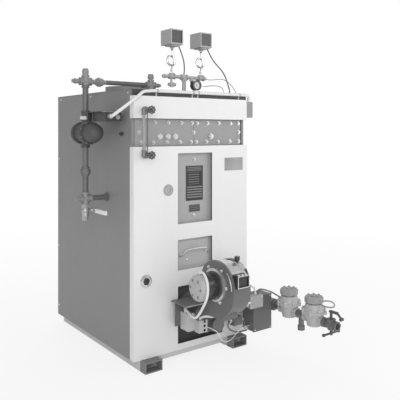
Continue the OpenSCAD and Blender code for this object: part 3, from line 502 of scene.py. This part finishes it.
def gridFaces(rows, cols, wrapRows=False, wrapCols=False):
    # quad i, j joins four neighbours in a grid of rows by cols points
    # a wrapped side joins its end to its start
    i, j = np.meshgrid(np.arange(rows - 1 + wrapRows), np.arange(cols - 1 + wrapCols), indexing="ij")
    down, right = (i + 1) % rows, (j + 1) % cols
    quads = [i * cols + j, down * cols + j, down * cols + right, i * cols + right]
    return np.stack(quads, -1).reshape(-1, 4)


makeFloor(studio)
makeSky(studio)
print("floor and sky made")

# Shapes for the pieces that the CAD leaves out. Their places are corner millimetres:
# X from the left side, Y from the front panel, Z from the floor.


def turned(profile, sides, start=0.0):
    # ring of each (radius, height) in the profile:
    # (radius cos a, radius sin a, height) over equal steps of a
    radius, height = np.array(profile, float).T[:, :, None]
    angle = start + np.arange(sides) * 2 * math.pi / sides
    points = np.stack([radius * np.cos(angle), radius * np.sin(angle), height + 0 * angle], -1)
    return points.reshape(-1, 3), gridFaces(len(profile), sides, wrapCols=True)


def band(inner, outer, low, high, sides):
    # ring of rectangular section: the profile's last row joins its first
    points, _ = turned([(inner, low), (outer, low), (outer, high), (inner, high)], sides)
    return points, gridFaces(4, sides, wrapRows=True, wrapCols=True)


def slab(low, high, chamfer):
    # box from corner to corner: a four-sided turned shape scaled to it, with its upper edge cut by the chamfer
    low, high = np.array(low, float), np.array(high, float)
    half = (high - low) / 2
    cut = 1 - chamfer / half[:2].min()
    points, faces = turned([(0, -1), (1, -1), (1, 1 - chamfer / half[2]), (cut, 1), (0, 1)], 4, math.pi / 4)
    return (low + high) / 2 + points * half * (math.sqrt(2), math.sqrt(2), 1), faces


def facing(shape, axis):
    # lays local Z along the axis: x times side, y times up, z times axis
    points, faces = shape
    axis = np.array(axis, float)
    side = np.cross((0, 0, 1) if abs(axis[2]) < 0.9 else (0, 1, 0), axis)
    return points @ np.stack([side, np.cross(axis, side), axis]), faces


def repeated(shape, places):
    points, faces = shape
    places = np.array(places, float)
    moved = (places[:, None, :] + points).reshape(-1, 3)
    return moved, (np.arange(len(places))[:, None, None] * len(points) + faces).reshape(-1, 4)


def joined(*shapes):
    starts = np.cumsum([0] + [len(points) for points, _ in shapes])
    return (np.concatenate([points for points, _ in shapes]),
            np.concatenate([faces + start for (_, faces), start in zip(shapes, starts)]))


def smooth(points, steps):
    # curve through points a, b, c, d: half of 2b + (c - a)t + (2a - 5b + 4c - d)tt + (3b - a - 3c + d)ttt
    p = np.array(points, float)
    a, b, c, d = np.concatenate([p[:1], p[:-2]]), p[:-1], p[1:], np.concatenate([p[2:], p[-1:]])
    t = (np.arange(steps) / steps)[None, :, None]
    a, b, c, d = (q[:, None, :] for q in (a, b, c, d))
    curve = 2 * b + (c - a) * t + (2 * a - 5 * b + 4 * c - d) * t ** 2 + (3 * b - a - 3 * c + d) * t ** 3
    return np.concatenate([0.5 * curve.reshape(-1, 3), p[-1:]])


def evenly(path, count):
    # the same line at equal steps of its length
    length = np.concatenate([[0], np.cumsum(np.linalg.norm(np.diff(path, axis=0), axis=1))])
    steps = np.linspace(0, length[-1], count)
    return np.stack([np.interp(steps, length, path[:, k]) for k in range(3)], -1), steps


def alongPath(path, radius, sides, ref):
    # ring at each station: path + radius (side cos a + up sin a), side = tangent x ref, up = side x tangent
    tangent = np.gradient(path, axis=0)
    side = np.cross(tangent, ref)
    side /= np.linalg.norm(side, axis=1)[:, None]
    up = np.cross(side, tangent)
    up /= np.linalg.norm(up, axis=1)[:, None]
    angle = (np.arange(sides) * 2 * math.pi / sides)[None, :, None]
    reach = np.broadcast_to(np.asarray(radius, float), len(path))[:, None, None]
    rings = path[:, None, :] + reach * (np.cos(angle) * side[:, None, :] + np.sin(angle) * up[:, None, :])
    caps = [np.repeat(path[k][None, None, :], sides, 1) for k in (0, -1)]
    return (np.concatenate([caps[0], rings, caps[1]]).reshape(-1, 3),
            gridFaces(len(path) + 2, sides, wrapCols=True))


sharpAngle, weldReach = math.radians(40), 1e-6           # sharper edges stay sharp, nearer points join


def makePiece(name, shape, finish):
    mesh = bpy.data.meshes.new(name)
    mesh.from_pydata(toRow(shape[0]).tolist(), [], shape[1].tolist())
    work = bmesh.new()
    work.from_mesh(mesh)
    bmesh.ops.remove_doubles(work, verts=work.verts, dist=weldReach)
    bmesh.ops.recalc_face_normals(work, faces=work.faces)
    work.to_mesh(mesh)
    work.free()
    mesh.shade_smooth()
    mesh.set_sharp_from_angle(angle=sharpAngle)
    mesh.materials.append(finishes[finish].material)
    piece = bpy.data.objects.new(name, mesh)
    scene.collection.objects.link(piece)
    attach(piece, "boiler")
    return piece


# Profiles of a bolt and a screw, in parts of the width across flats and of the width of the head.
boltCorner = 1 / math.sqrt(3)
boltWasher = np.array([(0, 0), (0.78, 0), (0.78, 0.12), (0, 0.12)])
boltHead = np.array([(0, 0.1), (boltCorner, 0.1), (boltCorner, 0.6), (0.45, 0.72), (0, 0.74)])
screwHead = np.array([(0, 0), (0.5, 0), (0.5, 0.08), (0.42, 0.24), (0.25, 0.33), (0, 0.36)])
washerSides, screwSides = 20, 18


def hexBolt(across):
    return joined(turned(boltWasher * across, washerSides), turned(boltHead * across, 6))


def roundScrew(wide):
    return turned(screwHead * wide, screwSides)


def hexBolts(across, axis, places):
    return repeated(facing(hexBolt(across), axis), places)


def roundScrews(wide, axis, places):
    return repeated(facing(roundScrew(wide), axis), places)


def ringTurns(count, start):  # equal steps round a circle in radians, from a start in degrees
    return np.radians(start + 360 / count * np.arange(count))


front, left, right, upward = (0, -1, 0), (-1, 0, 0), (1, 0, 0), (0, 0, 1)

# Bolts of the header plates, in three rows.
headerBolts = {
    "across": 15, "face": 28,
    "rows": {1260: (62, 144, 237, 329, 407, 444, 521, 609, 703, 775),
             1372: (156, 246, 337, 414, 451, 530, 615, 711, 772), 1317: (50, 425, 776)},
}
places = [(x, headerBolts["face"], z) for z, row in headerBolts["rows"].items() for x in row]
makePiece("headerBolts", hexBolts(headerBolts["across"], front, places), "bright_steel")

# Screws of the left side sheet, and a dark disc near its top: painted shade in the knock-out hole.
sideScrews = {"wide": 13, "face": 3, "top": 1538, "topRow": (989, 532, 68),
              "rear": 1023, "rearRow": (1136, 539, 128)}
places = [(sideScrews["face"], y, sideScrews["top"]) for y in sideScrews["topRow"]]
places += [(sideScrews["face"], sideScrews["rear"], z) for z in sideScrews["rearRow"]]
makePiece("sideScrews", roundScrews(sideScrews["wide"], left, places), "bright_steel")

# The knock-out is an open hole: this dark disc with its rim is painted shade in the hole.
knockOutShade = {"place": (3, 140, 1309), "wide": 58, "high": 24, "sides": 36,
            "profile": ((0, 0), (0.5, 0), (0.5, 1.2), (0.45, 1.6), (0.40, 0.9), (0, 0.8))}
points, faces = turned(knockOutShade["profile"], knockOutShade["sides"])
oval = facing((points * (knockOutShade["wide"], knockOutShade["high"], 1), faces), left)
makePiece("knockOutShade", repeated(oval, [knockOutShade["place"]]), "casing_paint")

# Nuts that hold the plate cover, and the bolt beside the handle of the small door.
coverNuts = {"across": 13, "places": ((428, 26, 1158), (428, 26, 826))}
doorBolt = {"across": 10, "places": ((375, 22, 568),)}
makePiece("coverNuts", hexBolts(coverNuts["across"], front, coverNuts["places"]), "bright_steel")
makePiece("doorBolt", hexBolts(doorBolt["across"], front, doorBolt["places"]), "bright_steel")

# Bare badge at the right of the front panel, with a pin in each end.
badge = {"low": (639, 1082), "high": (785, 1161), "thick": 1.6, "chamfer": 0.5, "pin": 6, "pinIn": 9}
(x0, z0), (x1, z1) = badge["low"], badge["high"]
points, faces = slab((x0, -z1, 0), (x1, -z0, badge["thick"]), badge["chamfer"])
plate = points[:, [0, 2, 1]] * (1, -1, -1), faces        # stood up against the panel
places = [(x, -badge["thick"], (z0 + z1) / 2) for x in (x0 + badge["pinIn"], x1 - badge["pinIn"])]
makePiece("badge", joined(plate, roundScrews(badge["pin"], front, places)), "badge_sheet")
print("bolts, screws and badge made")

# Straps that hold the top conduit to the flange of the top panel: a ring, an ear below it and a screw.
strap = {"across": (150, 400, 439, 757), "y": -1.6, "z": 1550, "inner": 8.6, "outer": 10.6, "wide": 9,
         "sides": 28, "ear": 20, "earThick": 2.4, "earOver": 3, "gap": 0.2, "chamfer": 0.6, "flange": 8,
         "screw": 7}
half, under = strap["wide"] / 2, -strap["outer"]
back = strap["flange"] - strap["y"] - strap["gap"]
face = back - strap["earThick"]
ring = facing(band(strap["inner"], strap["outer"], -half, half, strap["sides"]), right)
ear = slab((-half, face, under - strap["ear"]), (half, back, under + strap["earOver"]), strap["chamfer"])
pin = roundScrews(strap["screw"], front, [(0, face, under - strap["ear"] / 2)])
places = [(x, strap["y"], strap["z"]) for x in strap["across"]]
makePiece("conduitStraps", repeated(joined(ring, ear, pin), places), "box_grey")


def tubes(look):  # each route as a smooth round tube
    lines = [evenly(smooth(route, look["smooth"]), look["stations"])[0] for route in look["routes"]]
    return joined(*[alongPath(line, look["thick"] / 2, look["sides"], look["ref"]) for line in lines])


# Thin pressure tubes from the manifold down to the front of the jacket.
senseTubes = {
    "thick": 5, "ref": (0.2, 0.3, 1), "smooth": 12, "stations": 90, "sides": 10,
    "routes": (
        ((660, 250, 1655), (664, 210, 1656), (674, 170, 1652), (720, 160, 1658), (761, 150, 1655),
         (774, 100, 1620), (764, 50, 1580), (742, 16, 1566), (738, 14, 1560)),
        ((662, 250, 1614), (663, 210, 1614), (666, 170, 1614), (690, 135, 1612), (690, 90, 1596),
         (664, 40, 1572), (646, 16, 1564), (644, 14, 1560))),
}
makePiece("senseTubes", tubes(senseTubes), "box_grey")

# Free conduits and cables: a straight stub, a smooth curve and a stub. Those with a node follow its CAD route.
conduitWall = {"pitch": 7.0, "depth": 0.07, "finish": "conduit_white"}
cableWall = {"pitch": 3.0, "depth": 0.03, "finish": "cable_sheath"}
flexes = {
    "motorConduit": {**conduitWall, "node": "motor_conduit", "thick": 14, "ref": (1, 0.2, 0.1), "route": (
        (248, -270, 562.3), (248, -270, 568.3), (240, -310, 576.3), (232, -354, 546.3), (224, -372, 486.3),
        (218, -348, 420.3), (236, -246, 324.3), (282, -90, 324.3), (290, -80, 309.3), (290, -80, 302.3))},
    "relayConduit": {**conduitWall, "node": "relay_conduit", "thick": 14, "ref": (0, 0.3, 1), "route": (
        (344, -145, 266.3), (344, -145, 275.3), (354, -180, 292), (388, -222, 295), (454, -236, 295),
        (527.7, -236, 299), (591.7, -228, 311), (637.7, -217, 321), (650.7, -213, 321), (657.7, -213, 321))},
    "leftCable": {**cableWall, "node": "left_control_cable", "thick": 8, "ref": (0, 1, 0), "route": (
        (458, 230, 1859.7), (458, 230, 1853.7), (476, 226, 1809.7), (492, 224, 1759.7),
        (511, 246, 1712.3), (511, 250, 1687.3), (511, 250, 1682.3))},
    "rightCable": {**cableWall, "node": "right_control_cable", "thick": 8, "ref": (0, 1, 0), "route": (
        (684, 230, 1859.7), (684, 230, 1853.7), (700, 190, 1779.7), (722, 110, 1690.3),
        (735, 72, 1592.3), (736, 70, 1566.3), (736, 70, 1560.3))},
    "boxConduit": {**conduitWall, "thick": 13, "ref": (0, 1, 0), "route": (
        (718, -192, 354), (718, -192, 362), (708, -192, 396), (674, -193, 413), (636, -195, 400),
        (620, -196, 362), (624, -197, 324), (642, -197, 305), (651, -197, 303), (657.5, -197, 303))},
    "valveCable": {**cableWall, "pitch": 3.5, "thick": 9, "ref": (0, 1, 0.3), "route": (
        (738, -192, 354), (738, -192, 362), (748, -192, 378), (785, -192, 372),
        (840, -202, 350), (872, -219, 328), (881, -227, 321), (886, -231, 318))},
    "valveLoop": {**cableWall, "pitch": 3.5, "finish": "box_grey", "thick": 9, "ref": (1, 0, 0.1), "route": (
        (920, -523, 354), (921, -530, 355), (926, -556, 366), (930, -590, 368), (931, -610, 358),
        (929, -606, 344), (925, -584, 336), (922, -556, 334), (920, -530, 336), (920, -522, 337))},
    "relayWire": {**conduitWall, "pitch": 3.0, "depth": 0.0, "thick": 4, "ref": (0.1, 1, 0), "route": (
        (380, -150, 221), (386, -151, 220), (443, -166, 186), (468, -168, 148), (490, -168, 120),
        (528, -166, 110), (569, -160, 118), (610, -152, 138), (650, -144, 150), (690, -136, 153),
        (716, -131, 152), (724.6, -130, 152))},
}


flexGrid = {"smooth": 10, "perPitch": 6, "sides": 14, "every": 3}  # smoothing steps, stations in each pitch and sides of each ring


def makeFlex(name, look):
    stubs = np.array(look["route"], float)
    line = np.concatenate([stubs[:1], smooth(stubs[1:-1], flexGrid["smooth"]), stubs[-1:]])
    length = np.linalg.norm(np.diff(line, axis=0), axis=1).sum()
    path, steps = evenly(line, int(length / look["pitch"] * flexGrid["perPitch"]))
    rib = np.sin(2 * math.pi * steps / look["pitch"])       # the wall rises and falls once in each pitch
    wall = look["thick"] / 2 * (1 - look["depth"] + look["depth"] * rib)
    piece = makePiece(name, alongPath(path, wall, flexGrid["sides"], look["ref"]), look["finish"])
    if "node" in look:
        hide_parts(look["node"])
    0.001 * length
    return length


for name, look in flexes.items():
    print(name, "is", round(makeFlex(name, look)), "mm long")

# Face, black bezel and pointer of the pressure gauge.
dial = {"place": (569, 191.6, 1614), "radius": 28.4, "thick": 0.8, "sides": 48,
        "ticks": 40.0, "tickShare": 0.28, "tickRing": (0.68, 0.90), "tickTurn": 0.375,
        "tone": 0.78, "mottle": 0.06, "paper": 40.0, "ink": 0.05, "rough": 0.35,
        "bezel": (23.5, 33.4), "bezelFace": 187, "bezelDeep": 2,
        "pointer": 18, "pointerHalf": 1.3, "pointerRise": 0.9, "turn": 125,
        "hub": ((0, 0.8), (3.2, 0.8), (3.2, 2.2), (0, 2.6)), "hubSides": 16}
finishes["dial_white"] = dialFinish("dial_white", dial)
x, _, z = dial["place"]
wide, thick = dial["radius"], dial["thick"]
disc = facing(turned([(0, 0), (wide, 0), (wide, thick), (0, thick)], dial["sides"]), front)
makePiece("gaugeFace", repeated(disc, [dial["place"]]), "dial_white")
bezel = facing(band(*dial["bezel"], -dial["bezelDeep"], dial["bezelDeep"], dial["sides"]), front)
makePiece("gaugeBezel", repeated(bezel, [(x, dial["bezelFace"], z)]), "black_enamel")
# the pointer is a long diamond, turned about the hub: (x cos t - y sin t, x sin t + y cos t)
points, faces = turned([(0, 0), (1, 0), (1, thick), (0, thick)], 4)
points = points * (dial["pointer"] / 2, dial["pointerHalf"], 1) + (dial["pointer"] / 3, 0, dial["pointerRise"])
turn = math.radians(dial["turn"])
spin = np.array([(math.cos(turn), math.sin(turn), 0), (-math.sin(turn), math.cos(turn), 0), (0, 0, 1)])
hand = facing(joined((points @ spin, faces), turned(dial["hub"], dial["hubSides"])), front)
makePiece("gaugeHand", repeated(hand, [dial["place"]]), "black_enamel")

# Bolts of the blower's side plate and the shade inside the motor's vents.
blower = {
    "axis": (354, -270, 488), "bolt": 13,
    "plateBolts": ((-212, 574), (-324, 573), (-364, 486), (-312, 400), (-196, 420)),
    "vents": 6, "ventStart": 30, "ventFace": 227.8, "ventReach": 45.9, "ventWide": 8.2, "ventThick": 0.6,
    "ventSides": 24,
}
plateX, axisY, axisZ = blower["axis"]
places = [(plateX, y, z) for y, z in blower["plateBolts"]]
makePiece("plateBolts", hexBolts(blower["bolt"], left, places), "bright_steel")
turns, reach = ringTurns(blower["vents"], blower["ventStart"]), blower["ventReach"]
places = np.stack([blower["ventFace"] + 0 * turns, axisY + reach * np.sin(turns),
                   axisZ + reach * np.cos(turns)], -1)
wide, thick = blower["ventWide"], blower["ventThick"]
shade = facing(turned([(0, 0), (wide, 0), (wide, thick), (0, thick)], blower["ventSides"]), left)
makePiece("ventShade", repeated(shade, places), "casing_paint")

# Bright frame round the window of the air shutter and the screws on its top.
shutter = {"low": (370, 498), "high": (450, 564), "face": -440, "bar": 4, "thick": 2.0, "gap": 0.1,
           "chamfer": 0.6, "screw": 15, "screwIn": 12, "screws": (386, 409, 434)}
(x0, z0), (x1, z1) = shutter["low"], shutter["high"]
wide, back = shutter["bar"], shutter["face"] - shutter["gap"]
face = shutter["face"] - shutter["thick"]
bars = [slab((a, face, b), (c, back, d), shutter["chamfer"]) for a, b, c, d in (
    (x0, z0, x1, z0 + wide), (x0, z1 - wide, x1, z1),
    (x0, z0 + wide, x0 + wide, z1 - wide), (x1 - wide, z0 + wide, x1, z1 - wide))]
places = [(x, shutter["face"] + shutter["screwIn"], z1) for x in shutter["screws"]]
makePiece("shutterFrame", joined(*bars, roundScrews(shutter["screw"], upward, places)), "bright_sheet")

# Bright rib on the blower's side plate: an arc about the motor's axis, and its reach grows as it comes down.
plateRib = {"degrees": (50, 92), "reach": (128, 139), "thick": 7, "steps": 24, "sides": 10}
turns = np.radians(np.linspace(*plateRib["degrees"], plateRib["steps"]))
reach = np.linspace(*plateRib["reach"], plateRib["steps"])
arc = np.stack([plateX + 0 * turns, axisY - reach * np.sin(turns), axisZ + reach * np.cos(turns)], -1)
makePiece("plateRib", alongPath(arc, plateRib["thick"] / 2, plateRib["sides"], right), "bright_steel")

# Pilot gas line: thin tubes from the gas pipe to a small valve and to the cabinet, with hexagon fittings.
pilotLine = {
    "thick": 9, "ref": (0.2, 1, 0.1), "smooth": 8, "stations": 50, "sides": 12,
    "across": 25, "long": 24, "chamfer": 3, "shoulder": 0.9,
    "fittings": ((592, -114, 203), (674, -116, 196), (713, -115, 142)),
    "routes": (
        ((548, -36, 250), (551, -60, 248), (560, -90, 230),
         (576, -110, 210), (592, -114, 203), (610, -114, 202)),
        ((660, -116, 197), (674, -116, 196), (692, -117, 188),
         (697, -117, 166), (702, -115, 146), (724, -115, 142)),
        ((592, -114, 203), (574, -113, 184), (586, -112, 152),
         (636, -111, 126), (694, -110, 119), (724, -110, 119))),
}
makePiece("pilotLine", tubes(pilotLine), "black_iron")
corners, half = pilotLine["across"] / math.sqrt(3), pilotLine["long"] / 2
inner, ledge = pilotLine["shoulder"] * corners, half - pilotLine["chamfer"]
block = turned([(0, -half), (inner, -half), (corners, -ledge), (corners, ledge), (inner, half), (0, half)], 6)
makePiece("pilotFittings", repeated(facing(block, right), pilotLine["fittings"]), "bright_steel")

pilotValve = {"low": (602, -137, 174), "high": (664, -95, 226), "chamfer": 4, "cap": (633, -136.5, 200),
              "capSize": (21, 9), "capSides": 28,
              "capProfile": ((0, 0), (1, 0), (1, 0.5), (0.8, 0.9), (0.3, 1), (0, 1))}
cap = facing(turned(np.array(pilotValve["capProfile"]) * pilotValve["capSize"], pilotValve["capSides"]), front)
body = slab(pilotValve["low"], pilotValve["high"], pilotValve["chamfer"])
makePiece("pilotValve", joined(body, repeated(cap, [pilotValve["cap"]])), "cabinet_grey")

# Short lever, link and knob at the open end of the blower drum.
drumLever = {
    "grip": ((473, -384, 581), (473, -388, 572), (473, -396, 559), (473, -402, 548)), "gripThick": 12,
    "link": ((474, -414, 545), (474, -413, 530), (474, -408, 508), (474, -404, 488)), "linkThick": 4,
    "gripSides": 12, "linkSides": 8, "smooth": 4, "knob": (474, -412, 545), "knobSize": 11,
}
grip, link = (alongPath(smooth(drumLever[rod], drumLever["smooth"]), drumLever[rod + "Thick"] / 2,
                        drumLever[rod + "Sides"], right) for rod in ("grip", "link"))
makePiece("drumLever", joined(grip, link), "black_enamel")
makePiece("drumKnob", roundScrews(drumLever["knobSize"], right, [drumLever["knob"]]), "bright_steel")

# Bolts of the float chamber's front flange, and the bare tag on its neck.
floatBolts = {"across": 9, "centre": (-136, 253, 1314), "ring": 60, "count": 8, "start": 22.5}
turns = ringTurns(floatBolts["count"], floatBolts["start"])
places = np.stack([np.cos(turns), 0 * turns, np.sin(turns)], -1) * floatBolts["ring"] + floatBolts["centre"]
makePiece("floatBolts", hexBolts(floatBolts["across"], front, places), "black_iron")
neckTag = {"low": (-178, 290.4, 1390), "high": (-130, 293.2, 1409), "chamfer": 0.5}
makePiece("neckTag", slab(neckTag["low"], neckTag["high"], neckTag["chamfer"]), "lever_sleeve")

# Flat ring round the panel latch.
latchRing = {"place": (226, 0, 988), "inner": 24.2, "outer": 33, "thick": 3, "sides": 40}
ring = facing(band(latchRing["inner"], latchRing["outer"], 0, latchRing["thick"], latchRing["sides"]), front)
makePiece("latchRing", repeated(ring, [latchRing["place"]]), "box_grey")

# Dark glass in the sight port.
portGlass = {"place": (77, -1, 493), "size": (20.3, 3), "sides": 40,
             "profile": ((0, 0), (1, 0), (1, 0.5), (0.8, 1), (0, 1))}
disc = facing(turned(np.array(portGlass["profile"]) * portGlass["size"], portGlass["sides"]), front)
makePiece("portGlass", repeated(disc, [portGlass["place"]]), "black_enamel")

# Bolts on the lugs of the two gas valves.
valveBolts = {"across": 11, "x": 920, "z": 301, "ring": 66, "count": 8, "start": 22.5, "centres": (-272, -470)}
turns, reach = ringTurns(valveBolts["count"], valveBolts["start"]), valveBolts["ring"]
places = [(valveBolts["x"] + reach * math.cos(a), y + reach * math.sin(a), valveBolts["z"])
          for y in valveBolts["centres"] for a in turns]
makePiece("valveBolts", hexBolts(valveBolts["across"], upward, places), "bright_steel")

# Eight-sided covers with bolts on the caps of the gas valves.
valveCovers = {"across": 108, "low": 338, "high": 373.5, "chamfer": 4, "sides": 8, "bolt": 10, "ring": 41}
outer, low, high = valveCovers["across"] / 2, valveCovers["low"], valveCovers["high"]
cut, reach = valveCovers["chamfer"], valveCovers["ring"]
cover = turned([(0, low), (outer - cut, low), (outer, low + cut), (outer, high - cut), (outer - cut, high),
                (0, high)], valveCovers["sides"])
places = [(reach * math.cos(a), reach * math.sin(a), high) for a in ringTurns(valveCovers["sides"], 0)]
cover = joined(cover, repeated(hexBolt(valveCovers["bolt"]), places))
places = [(valveBolts["x"], y, 0) for y in valveBolts["centres"]]
makePiece("valveCovers", repeated(cover, places), "cap_grey")

# Lid screws of the control cabinet and the burner's junction box.
lidScrews = {"wide": 9, "lids": (((735, 857), -172, (133, 321)), ((667, 749), -216, (292, 344)))}
places = [(x, y, z) for across, y, heights in lidScrews["lids"] for z in heights for x in across]
makePiece("lidScrews", roundScrews(lidScrews["wide"], front, places), "bright_steel")
print("burner, gauge and gas train dressed")
